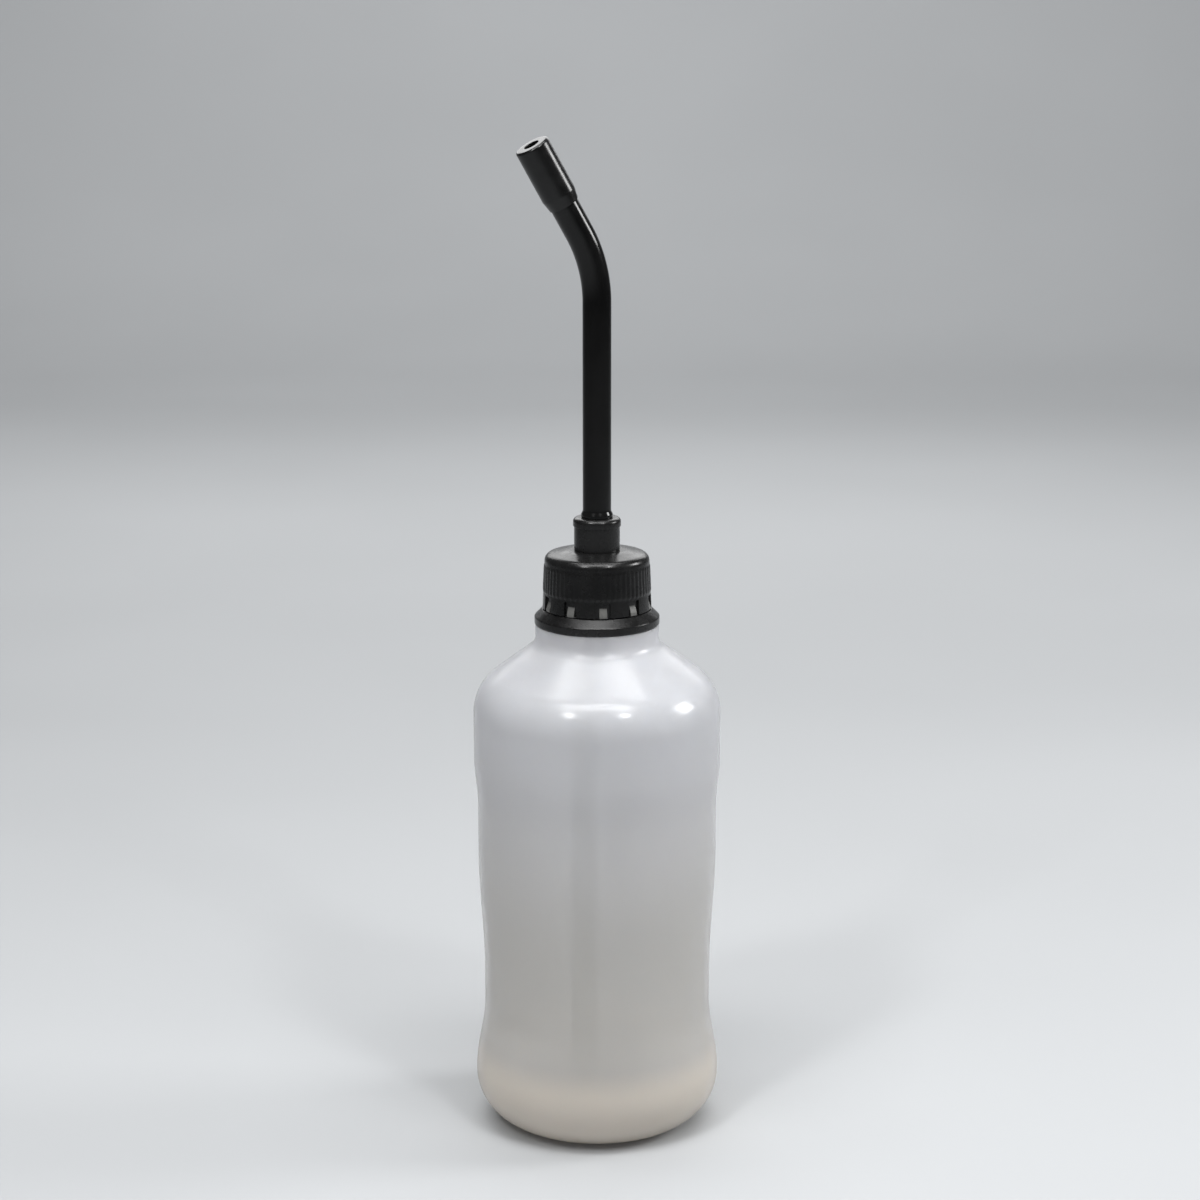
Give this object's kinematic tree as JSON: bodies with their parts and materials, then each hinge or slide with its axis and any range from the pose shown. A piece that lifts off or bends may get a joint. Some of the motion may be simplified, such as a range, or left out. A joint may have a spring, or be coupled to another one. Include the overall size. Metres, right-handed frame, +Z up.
{
  "type": "fuel bottle",
  "caption": "Translucent waisted squeeze bottle with a black screw cap over a tamper ring, and a bent spout pipe that swivels in the cap and runs on as a dip tube.",
  "frame": {"origin": "centre of the bottle's underside, on its axis, at the surface it stands on", "axes": "+Z up along the bottle's axis, the spout bends over towards -X, and +Y is to the right of the spout as seen from above with the spout pointing away"},
  "size_m": [0.072, 0.072, 0.2908],
  "materials": {
    "bottle": "milky translucent, satin",
    "cap": "black, satin",
    "ring": "black, satin",
    "collar": "black, satin",
    "pipe": "black, gloss",
    "sleeve": "black, gloss",
    "seal": "black, matte",
    "liner": "white foam, matte",
    "steel": "plain",
    "tube": "translucent, satin"
  },
  "bodies": {
    "bottle": {"bottle": "bottle", "tamper_ring": "ring"},
    "seal": {"cap_liner": "liner"},
    "cap": {"cap": "cap", "spout_collar": "collar", "collar_nut": "collar", "nut_washer": "seal", "pipe_seal": "seal"},
    "spout": {"spout_pipe": "pipe", "snap_ring": "steel", "tip_sleeve": "sleeve", "dip_tube": "tube"}
  },
  "joints": [
    {"name": "cap_lift", "type": "slide", "parent": "bottle", "child": "seal", "axis": [0, 0, 1], "range_m": [0, 0.00631]},
    {"name": "cap_turn", "type": "hinge", "parent": "seal", "child": "cap", "pos_m": [0, 0, 0.165], "axis": [0, 0, 1], "range_deg": [0, 540]},
    {"name": "spout_swivel", "type": "hinge", "parent": "cap", "child": "spout", "pos_m": [0, 0, 0.178], "axis": [0, 0, 1], "continuous": true}
  ],
  "couplings": [
    {"joint": "cap_lift", "follows": "cap_turn", "m_per_rad": 0.00066845}
  ]
}
